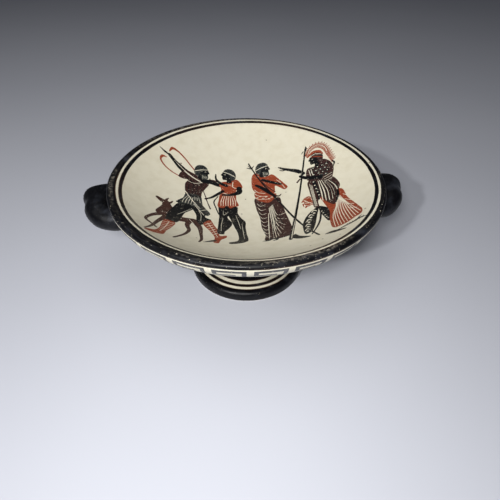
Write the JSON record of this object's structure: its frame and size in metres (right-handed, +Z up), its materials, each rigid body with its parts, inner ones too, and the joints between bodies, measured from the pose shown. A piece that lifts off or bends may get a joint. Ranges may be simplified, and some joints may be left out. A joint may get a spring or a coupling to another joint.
{
  "type": "kylix cup",
  "caption": "Shallow two-handled footed cup in painted earthenware, with a cream picture bowl, black lip and a meander band.",
  "frame": {"origin": "on the table under the middle of the foot", "axes": "+Z up along the stem, +X through the two handles, so the picture is seen upright from the -Y side"},
  "size_m": [0.2488, 0.2, 0.0885],
  "materials": {
    "cream_slip": "smooth satin cream slip with fine specks",
    "black_slip": "semi-gloss black, brushed, with small chips along the lip",
    "red_slip": "satin orange-red paint",
    "maroon_slip": "satin dark brown-red paint",
    "grey_slip": "thin black paint that dries dark grey"
  },
  "bodies": {
    "root": {"kylix_cup": "cream_slip"}
  },
  "joints": []
}
